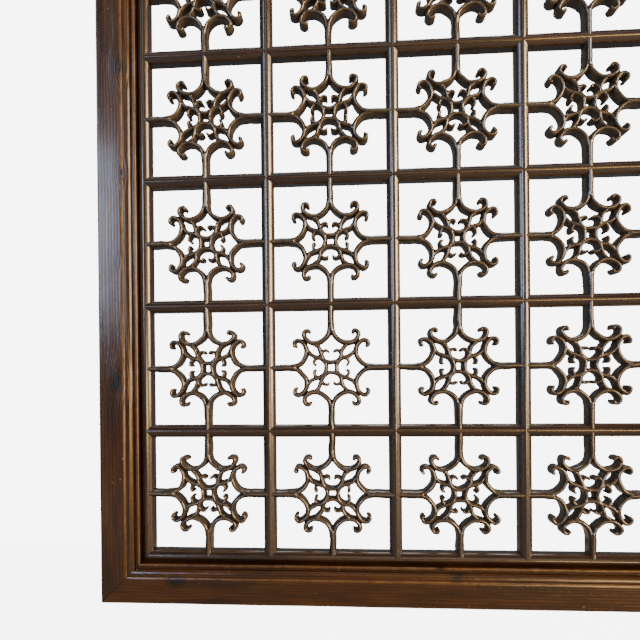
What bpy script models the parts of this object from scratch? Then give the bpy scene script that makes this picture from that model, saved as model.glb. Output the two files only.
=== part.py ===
"""Wooden lattice panel: a mitred, moulded outer frame, a mitred inner frame inside it, a grid of
bars halved into each other, and one carved scroll fretwork in each cell of the grid.

The panel stands upright in the XZ plane and faces -Y. Its back lies in the plane Y = 0, and the
origin is the middle of the top rail's back, where the panel is fixed.
"""

import math

import bmesh
import bpy

MM = 0.001

# The grid of cells
COLUMNS = 4
ROWS = 5
CELL_WIDTH = 140.0 * MM
CELL_HEIGHT = 141.4 * MM

# Bars: a square body with a gabled front, behind the outer frame's face
BAR_WIDTH = 13.3 * MM
BAR_BODY_DEPTH = 17.0 * MM
BAR_CROWN = 5.0 * MM
LATTICE_SETBACK = 6.0 * MM

# Outer frame: a flat face, then a quirk, an ovolo, a groove and a bead down to the lattice
FRAME_DEPTH = 38.0 * MM
FRAME_FACE_WIDTH = 30.0 * MM
FRAME_EDGE_EASING = 1.5 * MM
QUIRK_WIDTH = 1.6 * MM
QUIRK_DEPTH = 1.2 * MM
OVOLO_WIDTH = 6.6 * MM
OVOLO_DROP = 4.4 * MM
GROOVE_WIDTH = 2.2 * MM
GROOVE_DEPTH = 1.6 * MM
BEAD_WIDTH = 3.6 * MM
BEAD_RISE = 1.4 * MM

# Fretwork: its strokes' fronts stand in front of the bars' shoulders
FRET_CROWN = 3.5 * MM
STEM_WIDTH = 7.6 * MM
FRET_REACH = 43.5 * MM

# Fits
GAP = 0.3 * MM
OVERCUT = 3.0 * MM

# Segments along round stretches
OVOLO_STEPS = 3
BEAD_STEPS = 3
SWEEP_STEPS = 2

# The fretwork's free curves, as shares of FRET_REACH, measured from its centre in one eighth of
# it: between the upright axis and the diagonal. Each arc is a centre, a radius and two angles
FLARE_START = 1.16
SWEEP = ((0.41, 0.995), 0.31, 222, 322)
HOOK_TIP = (0.53, 0.905)
HOOK_BACK = (0.672, 0.991)
HOOK_HEEL = 0.737
LEAF_HEEL = 0.25
LEAF_SIDE = (0.375, 0.5)
LEAF_POINT = 0.625
SPLIT_APEX = 0.92
BRANCH_HEEL = (0.275, 0.6)
BOW_CORNER = (0.205, 0.3)
BOW_FOOT = 0.18
EYE_CORNER = 0.125

# Sizes that follow from those above
BAR_HALF = BAR_WIDTH / 2
BAR_BACK = -LATTICE_SETBACK
BAR_SHOULDER = BAR_BACK - BAR_BODY_DEPTH
BAR_LAP = BAR_BACK - BAR_BODY_DEPTH / 2
GABLE_SLOPE = BAR_CROWN / BAR_HALF
FRET_DEPTH = BAR_BODY_DEPTH + FRET_CROWN
MOULDING_WIDTH = QUIRK_WIDTH + OVOLO_WIDTH + GROOVE_WIDTH + BEAD_WIDTH
FRAME_WIDTH = FRAME_FACE_WIDTH + MOULDING_WIDTH
MITRE_SETBACK = GAP / 2 * math.sqrt(2)
GRID_WIDTH = COLUMNS * CELL_WIDTH
GRID_HEIGHT = ROWS * CELL_HEIGHT
FRAME_REACH = FRAME_WIDTH + GAP + BAR_HALF
PANEL_TOP = FRAME_WIDTH / 2
GRID_LEFT = -GRID_WIDTH / 2
GRID_TOP = PANEL_TOP - FRAME_REACH
GRID_BOTTOM = GRID_TOP - GRID_HEIGHT
GRID_MIDDLE = (GRID_TOP + GRID_BOTTOM) / 2

FINISHES = {
    "outer_frame_wood": ((0.095, 0.043, 0.018), 0.42),
    "lattice_wood": ((0.07, 0.034, 0.016), 0.36),
    "fret_wood": ((0.105, 0.058, 0.028), 0.42),
}


def clear_scene():
    for item in list(bpy.data.objects):
        bpy.data.objects.remove(item, do_unlink=True)


def new_collection(name):
    collection = bpy.data.collections.new(name)
    bpy.context.scene.collection.children.link(collection)
    return collection


def wood_material(name):
    colour, roughness = FINISHES[name]
    material = bpy.data.materials.new(name)
    material.use_nodes = True
    shader = material.node_tree.nodes["Principled BSDF"]
    shader.inputs["Base Color"].default_value = (*colour, 1.0)
    shader.inputs["Roughness"].default_value = roughness
    shader.inputs["Metallic"].default_value = 0.0
    return material


def arc(centre, radius, start, end, steps):
    """Points along an arc, with both its ends. Angles are in degrees, anticlockwise from +X."""
    points = []
    for step in range(steps + 1):
        angle = math.radians(start + (end - start) * step / steps)
        points.append(
            (centre[0] + radius * math.cos(angle), centre[1] + radius * math.sin(angle))
        )
    return points


def extruded(name, loops, length):
    """A mesh of a flat outline in XY, with any holes, made solid along Z about Z = 0."""
    curve = bpy.data.curves.new(name, "CURVE")
    curve.dimensions = "2D"
    curve.fill_mode = "BOTH"
    curve.extrude = length / 2
    for loop in loops:
        spline = curve.splines.new("POLY")
        spline.points.add(len(loop) - 1)
        for point, (x, y) in zip(spline.points, loop):
            point.co = (x, y, 0.0, 1.0)
        spline.use_cyclic_u = True
    holder = bpy.data.objects.new(name, curve)
    bpy.context.scene.collection.objects.link(holder)
    graph = bpy.context.evaluated_depsgraph_get()
    mesh = bpy.data.meshes.new_from_object(holder.evaluated_get(graph))
    bpy.data.objects.remove(holder, do_unlink=True)
    bpy.data.curves.remove(curve)
    weld(mesh)
    return mesh


def weld(mesh):
    work = bmesh.new()
    work.from_mesh(mesh)
    bmesh.ops.remove_doubles(work, verts=work.verts, dist=0.00001)
    bmesh.ops.recalc_face_normals(work, faces=work.faces)
    work.to_mesh(mesh)
    work.free()


def place(name, mesh, collection, location, turn_about_y=0.0, material=None):
    """An object of the mesh at its place in the panel, turned about +Y by degrees."""
    item = bpy.data.objects.new(name, mesh)
    item.location = location
    item.rotation_euler = (0.0, math.radians(turn_about_y), 0.0)
    if material and not mesh.materials:
        mesh.materials.append(material)
    collection.objects.link(item)
    return item


def bar_profile(grow=0.0, back=BAR_BACK):
    """A bar's cross-section in XY, front towards -Y, with its front and sides grown outwards."""
    lift = grow * math.sqrt(1 + GABLE_SLOPE**2)
    half = BAR_HALF + grow
    ridge = BAR_SHOULDER - BAR_CROWN - lift
    shoulder = ridge + half * GABLE_SLOPE
    return [(-half, back), (-half, shoulder), (0.0, ridge), (half, shoulder), (half, back)]


def frame_profile():
    """The outer frame's cross-section in XY: X runs inwards from its outer edge."""
    face = -FRAME_DEPTH
    ledge = face + QUIRK_DEPTH
    ovolo_start = FRAME_FACE_WIDTH + QUIRK_WIDTH
    ovolo_end = ovolo_start + OVOLO_WIDTH
    ovolo_foot = ledge + OVOLO_DROP
    groove = ovolo_foot + GROOVE_DEPTH
    bead_start = ovolo_end + GROOVE_WIDTH
    points = [
        (0.0, 0.0),
        (0.0, face + FRAME_EDGE_EASING),
        (FRAME_EDGE_EASING, face),
        (FRAME_FACE_WIDTH, face),
        (FRAME_FACE_WIDTH, ledge),
    ]
    for x, y in arc((0.0, 0.0), 1.0, 90, 0, OVOLO_STEPS):
        points.append((ovolo_start + OVOLO_WIDTH * x, ledge + OVOLO_DROP * (1 - y)))
    points += [(ovolo_end, groove), (bead_start, groove)]
    for x, y in arc((0.0, 0.0), 1.0, 180, 0, BEAD_STEPS):
        points.append((bead_start + BEAD_WIDTH * (1 + x) / 2, ovolo_foot - BEAD_RISE * y))
    points.append((FRAME_WIDTH, 0.0))
    return points


def mitred_strip(name, profile, outer_length):
    """The profile run along Z, its ends cut at 45 degrees from the outer edge at X = 0 inwards."""
    mesh = extruded(name, [profile], outer_length)
    for vertex in mesh.vertices:
        cut_back = vertex.co.x + MITRE_SETBACK
        vertex.co.z += -cut_back if vertex.co.z > 0 else cut_back
    return mesh


def build_mitred_frame(collection, names, profile, half_width, half_height, material):
    """Four strips round the grid's middle: left, top, right and bottom, each a quarter turn on."""
    upright = mitred_strip(names[0], profile, 2 * half_height)
    level = mitred_strip(names[1], profile, 2 * half_width)
    sides = (
        (upright, (-half_width, 0.0, GRID_MIDDLE)),
        (level, (0.0, 0.0, GRID_MIDDLE + half_height)),
        (upright, (half_width, 0.0, GRID_MIDDLE)),
        (level, (0.0, 0.0, GRID_MIDDLE - half_height)),
    )
    for quarter, (name, (mesh, location)) in enumerate(zip(names, sides)):
        place(name, mesh, collection, location, quarter * 90, material)


def hide_cutters(collection):
    for item in collection.objects:
        item.hide_render = True
        item.display_type = "WIRE"


def cut(item, collection):
    modifier = item.modifiers.new("fit", "BOOLEAN")
    modifier.operation = "DIFFERENCE"
    modifier.solver = "EXACT"
    modifier.operand_type = "COLLECTION"
    modifier.collection = collection


def build_bars(collection, material):
    """Bars run from the inner frame's ridge to its ridge, coped over its slopes. An upright bar is
    notched in front for each level bar and coped over its gable. A level bar is notched behind."""
    upright_cutters = new_collection("upright_bar_cutters")
    level_cutters = new_collection("level_bar_cutters")
    long_run = GRID_WIDTH + GRID_HEIGHT

    full = extruded("inner_frame_relief", [bar_profile(GAP, BAR_BACK + OVERCUT)], long_run)
    front = extruded("level_bar_relief", [bar_profile(GAP, BAR_LAP + GAP / 2)], long_run)
    notch_half = BAR_HALF + GAP
    notch_top = BAR_LAP - GAP / 2
    notch_back = BAR_BACK + OVERCUT
    notch_outline = [
        (-notch_half, notch_back),
        (-notch_half, notch_top),
        (notch_half, notch_top),
        (notch_half, notch_back),
    ]
    notch = extruded("upright_bar_relief", [notch_outline], long_run)

    for end in (GRID_TOP, GRID_BOTTOM):
        place("end_relief", full, upright_cutters, (0.0, 0.0, end), 90)
    for end in (GRID_LEFT, -GRID_LEFT):
        place("end_relief", full, level_cutters, (end, 0.0, GRID_MIDDLE))

    upright = extruded("upright_bar", [bar_profile()], GRID_HEIGHT)
    level = extruded("level_bar", [bar_profile()], GRID_WIDTH)
    for number in range(1, COLUMNS):
        across = GRID_LEFT + number * CELL_WIDTH
        place("notch", notch, level_cutters, (across, 0.0, GRID_MIDDLE))
        bar = place(
            f"upright_bar_{number}", upright, collection, (across, 0.0, GRID_MIDDLE), 0, material
        )
        cut(bar, upright_cutters)
    for number in range(1, ROWS):
        height = GRID_BOTTOM + number * CELL_HEIGHT
        place("lap", front, upright_cutters, (0.0, 0.0, height), 90)
        bar = place(f"level_bar_{number}", level, collection, (0.0, 0.0, height), 90, material)
        cut(bar, level_cutters)
    hide_cutters(upright_cutters)
    hide_cutters(level_cutters)


def scaled(point):
    return (point[0] * FRET_REACH, point[1] * FRET_REACH)


def scaled_arc(shape, steps):
    centre, radius, start, end = shape
    return arc(scaled(centre), radius * FRET_REACH, start, end, steps)


def swapped(points):
    """The points mirrored in the diagonal, in the opposite order."""
    return [(y, x) for x, y in reversed(points)]


def turned(points, quarter):
    """The points turned clockwise by quarter turns about the centre."""
    for _ in range(quarter):
        points = [(y, -x) for x, y in points]
    return points


def fret_loops():
    """The fretwork's outline and its nine holes: four leaves, four bows and the eye."""
    stem = STEM_WIDTH / 2
    stem_ends = (CELL_HEIGHT / 2 - BAR_HALF - GAP, CELL_WIDTH / 2 - BAR_HALF - GAP)
    edge = [(stem, FLARE_START * FRET_REACH)]
    edge += scaled_arc(SWEEP, SWEEP_STEPS)
    edge += [scaled(HOOK_TIP), scaled(HOOK_BACK)]
    hook_heel = scaled((HOOK_HEEL, HOOK_HEEL))
    bow_side = [scaled(BRANCH_HEEL), scaled(BOW_CORNER)]

    outline = []
    holes = []
    eye = []
    for quarter in range(4):
        first, second = stem_ends[quarter % 2], stem_ends[(quarter + 1) % 2]
        half = [(stem, first), *edge]
        other_half = [*swapped(edge), (second, stem)]
        outline += turned([*half, hook_heel, *other_half], quarter)

        leaf = [scaled((LEAF_HEEL, LEAF_HEEL)), scaled(LEAF_SIDE)]
        leaf += [scaled((LEAF_POINT, LEAF_POINT)), *swapped([scaled(LEAF_SIDE)])]
        holes.append(turned(leaf, quarter))

        mirrored_side = [(-x, y) for x, y in reversed(bow_side)]
        bow = [scaled((0.0, SPLIT_APEX)), *bow_side, scaled((0.0, BOW_FOOT)), *mirrored_side]
        holes.append(turned(bow, quarter))

        eye += turned([scaled((EYE_CORNER, EYE_CORNER))], quarter)
    return [outline, *holes, eye]


def build_frets(collection, material):
    """One fretwork in each cell, all alike, with its stems against the bars."""
    mesh = extruded("fret", fret_loops(), FRET_DEPTH)
    middle = BAR_BACK - FRET_DEPTH / 2
    for column in range(COLUMNS):
        for row in range(ROWS):
            across = GRID_LEFT + (column + 0.5) * CELL_WIDTH
            height = GRID_BOTTOM + (row + 0.5) * CELL_HEIGHT
            name = f"fret_column_{column + 1}_row_{row + 1}"
            item = place(name, mesh, collection, (across, middle, height), 0, material)
            item.rotation_euler = (math.radians(90), 0.0, 0.0)


def build_panel():
    clear_scene()
    panel = new_collection("wooden_lattice_panel")
    outer_wood = wood_material("outer_frame_wood")
    lattice_wood = wood_material("lattice_wood")
    fret_wood = wood_material("fret_wood")

    build_mitred_frame(
        panel,
        ("left_stile", "top_rail", "right_stile", "bottom_rail"),
        frame_profile(),
        GRID_WIDTH / 2 + FRAME_REACH,
        GRID_HEIGHT / 2 + FRAME_REACH,
        outer_wood,
    )
    inner_profile = [(x + BAR_HALF, y) for x, y in bar_profile()]
    build_mitred_frame(
        panel,
        ("inner_strip_left", "inner_strip_top", "inner_strip_right", "inner_strip_bottom"),
        inner_profile,
        GRID_WIDTH / 2 + BAR_HALF,
        GRID_HEIGHT / 2 + BAR_HALF,
        lattice_wood,
    )
    build_bars(panel, lattice_wood)
    build_frets(panel, fret_wood)


build_panel()
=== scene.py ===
"""The looks of a carved wooden lattice panel: stained softwood under a worn semi-gloss varnish.

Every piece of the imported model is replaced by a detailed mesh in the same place: moulded frame
strips and crowned bars swept by Geometry Nodes, and one hand-carved scroll fretwork in each cell,
whose ridged strokes run over the bars' slopes as coped tips.
"""

from __future__ import annotations

import logging
import math
from collections.abc import Callable, Sequence
from dataclasses import dataclass, field
from enum import Enum

import bmesh
import bpy
import numpy as np
from mathutils import Matrix, Vector


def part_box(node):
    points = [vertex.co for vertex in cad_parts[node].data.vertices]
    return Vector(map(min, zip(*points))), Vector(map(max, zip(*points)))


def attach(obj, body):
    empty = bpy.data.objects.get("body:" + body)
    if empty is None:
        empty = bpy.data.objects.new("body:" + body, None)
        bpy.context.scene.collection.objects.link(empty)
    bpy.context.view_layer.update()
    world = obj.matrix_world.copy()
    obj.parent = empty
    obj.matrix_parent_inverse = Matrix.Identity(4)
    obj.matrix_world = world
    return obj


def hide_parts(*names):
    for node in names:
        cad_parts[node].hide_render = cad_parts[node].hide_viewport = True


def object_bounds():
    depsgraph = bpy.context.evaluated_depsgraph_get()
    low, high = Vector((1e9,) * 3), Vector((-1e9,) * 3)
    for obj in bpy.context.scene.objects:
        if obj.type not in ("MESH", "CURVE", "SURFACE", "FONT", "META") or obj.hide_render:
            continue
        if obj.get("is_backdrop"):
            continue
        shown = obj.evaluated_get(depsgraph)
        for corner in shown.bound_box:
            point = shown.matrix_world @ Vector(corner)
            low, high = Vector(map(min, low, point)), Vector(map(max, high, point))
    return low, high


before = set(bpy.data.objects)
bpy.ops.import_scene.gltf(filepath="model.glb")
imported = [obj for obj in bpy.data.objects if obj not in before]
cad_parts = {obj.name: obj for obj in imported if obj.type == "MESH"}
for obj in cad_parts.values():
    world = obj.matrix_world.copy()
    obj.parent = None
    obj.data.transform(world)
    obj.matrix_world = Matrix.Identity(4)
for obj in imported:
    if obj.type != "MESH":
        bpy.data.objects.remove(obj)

logging.basicConfig(level=logging.INFO, format="%(message)s")
log = logging.getLogger("lattice_panel")

Point = tuple[float, float]
Node = bpy.types.Node
Socket = bpy.types.NodeSocket
Tree = bpy.types.NodeTree

MM = 0.001
IMAGE_SIDE = 640
SENSOR_WIDTH = 36.0
MITRE_CLOSING = 0.36 * MM
MERGE_DISTANCE = 0.01 * MM
CORNER_REACH = 60 * MM
COLUMNS = 4
ROWS = 5
# A face with more corners than this is a swept piece's end cap
CAP_CORNERS = 12
# Edges that turn by more degrees than these stay sharp
SHARP_STRIP = 48
SHARP_FRET = 50
# The first seed of each group of pieces
OUTER_FRAME_SEED = 50
INNER_FRAME_SEED = 60
UPRIGHT_SEED = 70
LEVEL_SEED = 80

COMBINE = "ShaderNodeCombineXYZ"
MATH = "ShaderNodeMath"
NOISE = "ShaderNodeTexNoise"
SEPARATE = "ShaderNodeSeparateXYZ"
VECTOR = "ShaderNodeVectorMath"

# The stained wood's noise patterns
WEAR = {"Scale": 90.0, "Detail": 5.0, "Roughness": 0.65}
CRACKS = {"Scale": 420.0, "Detail": 4.0, "Roughness": 0.7}
SPECKS = {"Scale": 330.0, "Detail": 2.0}
DENTS = {"Scale": 160.0, "Detail": 3.0}
# These lie on a place drawn out along the grain. The fibres are about 0.8 mm wide, coarser than
# real ones, so that they show.
BLOTCHES = {"Scale": 1.0, "Detail": 4.0, "Roughness": 0.55}
FIBRES = {"Scale": 1.0, "Detail": 4.0, "Roughness": 0.7}
RING_DRIFT = {"Scale": 1.0, "Detail": 2.0}
RING_FADE = {"Scale": 2.3, "Detail": 2.0}
# How many features a metre holds across the grain, along it and into the board
BLOTCH_STRETCH = (62.0, 9.0, 40.0)
FIBRE_STRETCH = (1150.0, 22.0, 900.0)
RING_STRETCH = (40.0, 2.6, 0.0)

# A factor and an offset for each pattern that is made stronger
CRACK_CONTRAST = (3.4, -0.6)
CHATTER_CONTRAST = (5.0, -2.2)
RING_FADE_CONTRAST = (2.4, -0.3)
KNOT_CORE = (-1.9, 1.3)
KNOT_RIM = (-3.6, 0.8)

# The colour of the painted shade laid into grooves, recesses and the gaps between parts
RECESS_PAINTED_SHADE = "#120702"
KNOT_STAIN = "#080300"
JOINT_STAIN = "#0b0502"
BARE_WOOD = "#b89c78"


class Side(Enum):
    """The four sides of a frame, each a quarter turn about +Y on from the left one."""

    LEFT = 0
    TOP = 1
    RIGHT = 2
    BOTTOM = 3


class Grain(Enum):
    """The way a piece's fibres run."""

    UPRIGHT = "upright"
    LEVEL = "level"


def srgb(code: str) -> tuple[float, float, float, float]:
    """Turn an sRGB hex colour to linear.

    Args:
        code: Six hex digits after a hash mark.

    Returns:
        Linear red, green and blue, and an alpha of one.
    """
    channels = []
    for start in (1, 3, 5):
        value = int(code[start : start + 2], 16) / 255
        channels.append(value / 12.92 if value <= 0.04045 else ((value + 0.055) / 1.055) ** 2.4)
    return (channels[0], channels[1], channels[2], 1.0)


def add(tree: Tree, kind: str, inputs: dict | tuple = (), **settings: object) -> Node:
    """Add one node with its settings and links.

    Args:
        tree: The node tree that gets the node.
        kind: The node's type name.
        inputs: Each socket's value, or the socket or node that feeds it, by the socket's name or
            number, or in the sockets' order. A node feeds from its first output.
        settings: Node properties.

    Returns:
        The new node.
    """
    node = tree.nodes.new(kind)
    for key, value in settings.items():
        setattr(node, key, value)
    for key, value in inputs.items() if isinstance(inputs, dict) else enumerate(inputs):
        source = value.outputs[0] if isinstance(value, Node) else value
        if isinstance(source, Socket):
            tree.links.new(source, node.inputs[key])
        else:
            node.inputs[key].default_value = source
    return node


@dataclass(frozen=True)
class Knot:
    """A knot in a board: its place in the panel's plane and its radius, in metres."""

    x: float
    z: float
    radius: float


STILE_KNOTS = (
    Knot(-304.5 * MM, -184.0 * MM, 8.0 * MM),
    Knot(-303.0 * MM, -304.8 * MM, 5.0 * MM),
    Knot(-307.4 * MM, -403.2 * MM, 3.0 * MM),
    Knot(-310.5 * MM, -536.0 * MM, 9.0 * MM),
    Knot(312.0 * MM, -250.0 * MM, 7.0 * MM),
    Knot(306.0 * MM, -596.0 * MM, 5.0 * MM),
)
RAIL_KNOTS = (
    Knot(-245.0 * MM, -761.7 * MM, 7.5 * MM),
    Knot(65.5 * MM, -752.6 * MM, 6.0 * MM),
    Knot(46.4 * MM, -743.6 * MM, 3.5 * MM),
    Knot(-118.0 * MM, 3.0 * MM, 6.0 * MM),
)


@dataclass(frozen=True)
class Joints:
    """Where mitred joints lie: the corners of a grid of cells, from its lower left one."""

    left: float
    bottom: float
    cell_width: float
    cell_height: float
    columns: int
    rows: int
    reach: float


@dataclass(frozen=True)
class StainedSoftwood:
    """Fir or pine, planed and carved, dark brown oil stain under a worn semi-gloss varnish.

    The growth rings show as fine straight lines 3.5 mm apart along the member, the stain sits
    darker in the late wood, the recesses are darkened with painted shade, and the varnish is rubbed
    to a golden brown along the edges and ridges.
    """

    name: str
    grain: Grain
    dark: str = "#0c0400"
    body: str = "#221000"
    light: str = "#422500"
    rubbed: str = "#86643c"
    ring_spacing: float = 3.5 * MM
    rub_strength: float = 1.0
    rub_from: float = 0.42
    ring_relief: float = 0.6
    # How strongly the recesses are darkened with painted shade
    recess_shade_strength: float = 0.4
    chatter: float = 0.0
    gloss_roughness: float = 0.21
    varnish: float = 0.25
    bump_depth: float = 0.25 * MM
    knots: tuple[Knot, ...] = ()
    mitres: Joints | None = None
    ring_tone: float = 0.18
    fibre_tone: float = 0.45
    blotch_tone: float = 0.85
    tone_offset: float = -0.22
    dark_until: float = 0.12
    light_from: float = 0.88
    rub_patchiness: float = 1.8
    rub_gain: float = 2.4
    recess_shade_gain: float = -1.5
    nick_from: float = 0.752
    nick_gain: float = 14.0
    joint_width: float = 0.55 * MM
    joint_tone: float = 0.85
    chatter_pitch: float = 2.6 * MM
    fibre_height: float = 0.5
    dent_height: float = 0.9
    joint_height: float = -2.0
    nick_height: float = -1.2
    fibre_roughness: float = 0.22
    rub_roughness: float = 0.12
    ring_roughness: float = 0.09
    smoother_by: float = 0.08
    bump_strength: float = 0.9
    specular: float = 0.3
    varnish_roughness: float = 0.16

    def build(self) -> bpy.types.Material:
        """Build the material's node tree.

        Returns:
            The new material.
        """
        material = bpy.data.materials.new(self.name)
        material.use_nodes = True
        tree = material.node_tree
        shader = tree.nodes["Principled BSDF"]

        place = add(tree, "ShaderNodeTexCoord").outputs["Object"]
        axes = add(tree, SEPARATE, (place,)).outputs
        across, along = (axes[0], axes[2]) if self.grain is Grain.UPRIGHT else (axes[2], axes[0])
        bent, knot_mask = self.rings_round_knots(tree, across, along, axes[1])
        rings, wave = self.ring_pattern(tree, bent, along)
        laid = add(tree, COMBINE, (across, along, axes[1]))
        stretched = [
            add(tree, VECTOR, (laid, stretch), operation="MULTIPLY")
            for stretch in (FIBRE_STRETCH, BLOTCH_STRETCH)
        ]
        fibre = add(tree, NOISE, {"Vector": stretched[0], **FIBRES})
        blotches = add(tree, NOISE, {"Vector": stretched[1], **BLOTCHES})
        patchy, specks, dents = (
            add(tree, NOISE, {"Vector": place, **pattern}) for pattern in (WEAR, SPECKS, DENTS)
        )

        tone = self.tone_offset
        for pattern, share in (
            (rings, self.ring_tone), (fibre, self.fibre_tone), (blotches, self.blotch_tone),
        ):
            tone = add(tree, MATH, (pattern, share, tone), operation="MULTIPLY_ADD")
        ramp = add(tree, "ShaderNodeValToRGB", (tone,))
        stops = ramp.color_ramp.elements
        stops[0].color, stops[0].position = srgb(self.dark), self.dark_until
        stops[1].color, stops[1].position = srgb(self.light), self.light_from
        stops.new(0.5).color = srgb(self.body)

        bend = add(tree, "ShaderNodeAttribute", attribute_name="bend").outputs["Fac"]
        sharp = add(tree, MATH, (bend, self.rub_from), operation="SUBTRACT", use_clamp=True)
        patches = add(tree, MATH, (patchy, self.rub_patchiness), operation="POWER")
        rub = add(tree, MATH, (sharp, patches), operation="MULTIPLY")
        rub = add(tree, MATH, (rub, self.rub_gain * self.rub_strength), operation="MULTIPLY",
                  use_clamp=True)
        # Painted shade: where the surface bends inwards, in grooves, recesses and the gaps between
        # parts, the colour is darkened towards the painted shade's colour
        recess = add(tree, MATH, (bend, self.recess_shade_gain), operation="MULTIPLY", use_clamp=True)
        recess = add(tree, MATH, (recess, self.recess_shade_strength), operation="MULTIPLY")
        nicks = add(tree, MATH, (specks, self.nick_from), operation="SUBTRACT")
        nicks = add(tree, MATH, (nicks, self.nick_gain), operation="MULTIPLY", use_clamp=True)

        # Wear lightens the convex edges, and painted shade darkens the concave recesses
        layers = [(rub, self.rubbed), (recess, RECESS_PAINTED_SHADE)]
        heights = [(wave, self.ring_relief), (fibre, self.fibre_height), (dents, self.dent_height)]
        if knot_mask is not None:
            cracks = add(tree, NOISE, {"Vector": place, **CRACKS})
            cracks = add(tree, MATH, (cracks, *CRACK_CONTRAST), operation="MULTIPLY_ADD",
                         use_clamp=True)
            cracked = add(tree, MATH, (knot_mask, cracks), operation="MULTIPLY")
            layers.append((cracked, KNOT_STAIN))
        layers.append((nicks, BARE_WOOD))
        if self.mitres is not None:
            line = self.mitre_lines(tree, axes[0], axes[2])
            shade = add(tree, MATH, (line, self.joint_tone), operation="MULTIPLY")
            layers.append((shade, JOINT_STAIN))
            heights.append((line, self.joint_height))
        heights.append((nicks, self.nick_height))
        if self.chatter:
            # A hand plane's chatter: shallow ripples across the grain, in patches
            turns = add(tree, MATH, (along, self.chatter_pitch), operation="DIVIDE")
            ripple = add(tree, MATH, (turns, 0.5), operation="PINGPONG")
            where = add(tree, MATH, (blotches, *CHATTER_CONTRAST), operation="MULTIPLY_ADD",
                        use_clamp=True)
            ripple = add(tree, MATH, (ripple, where), operation="MULTIPLY")
            heights.append((ripple, self.chatter))

        colour = ramp.outputs["Color"]
        for share, tint in layers:
            mixed = add(tree, "ShaderNodeMix", {0: share, 6: colour, 7: srgb(tint)},
                        data_type="RGBA")
            colour = mixed.outputs[2]
        height = 0.0
        for pattern, share in heights:
            height = add(tree, MATH, (pattern, share, height), operation="MULTIPLY_ADD")
        roughness = self.gloss_roughness - self.smoother_by
        for pattern, share in (
            (fibre, self.fibre_roughness),
            (rub, self.rub_roughness),
            (wave, self.ring_roughness * self.ring_relief),
        ):
            roughness = add(tree, MATH, (pattern, share, roughness), operation="MULTIPLY_ADD")
        bump = add(tree, "ShaderNodeBump", {"Height": height, "Distance": self.bump_depth,
                                            "Strength": self.bump_strength})
        tree.links.new(colour, shader.inputs["Base Color"])
        tree.links.new(roughness.outputs[0], shader.inputs["Roughness"])
        tree.links.new(bump.outputs["Normal"], shader.inputs["Normal"])
        shader.inputs["Metallic"].default_value = 0.0
        shader.inputs["IOR"].default_value = 1.5
        shader.inputs["Specular IOR Level"].default_value = self.specular
        shader.inputs["Coat Weight"].default_value = self.varnish
        shader.inputs["Coat Roughness"].default_value = self.varnish_roughness
        return material

    def rings_round_knots(
        self, tree: Tree, across: Socket, along: Socket, depth: Socket
    ) -> tuple[Node, Node | None]:
        """Bend the rings' coordinate round each knot.

        Args:
            tree: The material's node tree.
            across: The coordinate across the grain.
            along: The coordinate along the grain.
            depth: The coordinate through the board.

        Returns:
            The bent coordinate, and the knots' dark mask or None.
        """
        slant, long_share, swell_share, push_share, rim_at = 0.45, 0.35, -2.6, -0.9, 0.8
        bent = add(tree, MATH, (depth, slant, across), operation="MULTIPLY_ADD")
        mask = None
        for knot in self.knots:
            centre = (knot.x, knot.z) if self.grain is Grain.UPRIGHT else (knot.z, knot.x)
            near = add(tree, MATH, (across, centre[0]), operation="SUBTRACT")
            far = add(tree, MATH, (along, centre[1]), operation="SUBTRACT")
            near_square = add(tree, MATH, (near, near), operation="MULTIPLY")
            far_share = add(tree, MATH, (far, long_share), operation="MULTIPLY")
            square = add(tree, MATH, (far, far_share, near_square), operation="MULTIPLY_ADD")
            fall = add(tree, MATH, (square, swell_share * knot.radius**2), operation="DIVIDE")
            swell = add(tree, MATH, (fall,), operation="EXPONENT")
            side = add(tree, MATH, (near,), operation="SIGN")
            push = add(tree, MATH, (swell, side), operation="MULTIPLY")
            bent = add(tree, MATH, (push, push_share * knot.radius, bent), operation="MULTIPLY_ADD")
            # The share is one on the knot's outline: dark inside it, with a darker rim
            share = add(tree, MATH, (square, knot.radius**2), operation="DIVIDE")
            core = add(tree, MATH, (share, *KNOT_CORE), operation="MULTIPLY_ADD", use_clamp=True)
            off_rim = add(tree, MATH, (share, rim_at), operation="SUBTRACT")
            off_rim = add(tree, MATH, (off_rim,), operation="ABSOLUTE")
            rim = add(tree, MATH, (off_rim, *KNOT_RIM), operation="MULTIPLY_ADD", use_clamp=True)
            core = add(tree, MATH, (core, rim), operation="MAXIMUM")
            mask = core if mask is None else add(tree, MATH, (mask, core), operation="MAXIMUM")
        return bent, mask

    def ring_pattern(self, tree: Tree, across: Node, along: Socket) -> tuple[Node, Node]:
        """Draw the growth rings: lines along the grain, each sharp on its late-wood side.

        Args:
            tree: The material's node tree.
            across: The coordinate across the grain, bent round the knots.
            along: The coordinate along the grain.

        Returns:
            The tone, zero in late wood and one in early wood, and the relief's even wave.
        """
        rings_of_drift, sharpness, middle_tone = 3.0, 0.6, 0.6
        laid = add(tree, COMBINE, (across, along))
        slow = add(tree, VECTOR, (laid, RING_STRETCH), operation="MULTIPLY")
        drift, fade = (
            add(tree, NOISE, {"Vector": slow, **pattern}) for pattern in (RING_DRIFT, RING_FADE)
        )
        place = add(tree, MATH, (across, self.ring_spacing), operation="DIVIDE")
        place = add(tree, MATH, (drift, rings_of_drift, place), operation="MULTIPLY_ADD")
        saw = add(tree, MATH, (place,), operation="FRACT")
        saw = add(tree, MATH, (saw, sharpness), operation="POWER")
        depth = add(tree, MATH, (fade, *RING_FADE_CONTRAST), operation="MULTIPLY_ADD",
                    use_clamp=True)
        tone = add(tree, MATH, (saw, middle_tone), operation="SUBTRACT")
        tone = add(tree, MATH, (tone, depth, middle_tone), operation="MULTIPLY_ADD")
        wave = add(tree, MATH, (place, 0.5), operation="PINGPONG")
        return tone, add(tree, MATH, (wave, depth), operation="MULTIPLY")

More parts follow.
